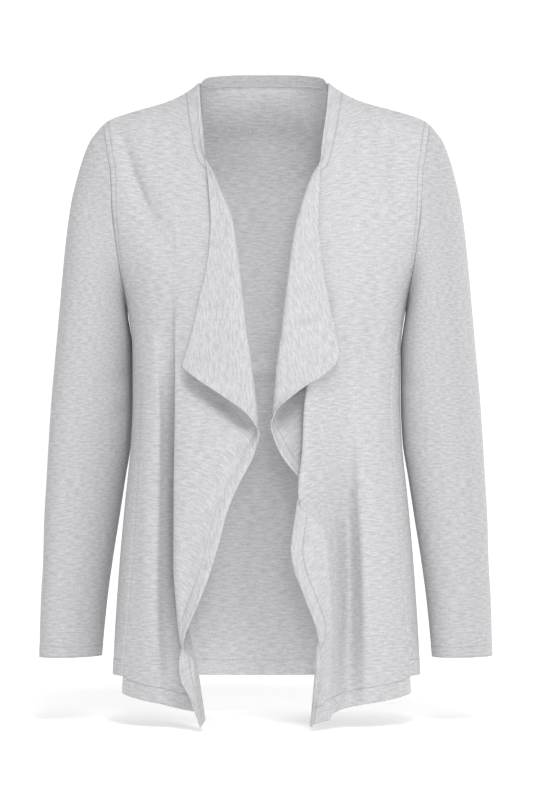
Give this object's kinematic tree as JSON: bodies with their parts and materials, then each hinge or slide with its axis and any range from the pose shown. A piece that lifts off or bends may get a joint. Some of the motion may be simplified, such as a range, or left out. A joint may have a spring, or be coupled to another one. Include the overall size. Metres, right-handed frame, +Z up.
{
  "type": "cardigan coat",
  "caption": "Open drape-front jersey cardigan coat with long sleeves and cascading front edges, filled out with no wearer.",
  "frame": {"origin": "middle of the shoulder line, level with the neck ends of the shoulder seams, where the wearer's shoulders carry the coat", "axes": "+Z up, the open front faces -Y, +X to the wearer's left"},
  "size_m": [0.517, 0.2713, 0.7385],
  "materials": {
    "jersey": "soft matt light grey melange single jersey"
  },
  "bodies": {
    "root": {"back": "jersey", "front_right": "jersey", "front_left": "jersey", "sleeve_right": "jersey", "sleeve_left": "jersey", "neck_band": "jersey"}
  },
  "joints": []
}
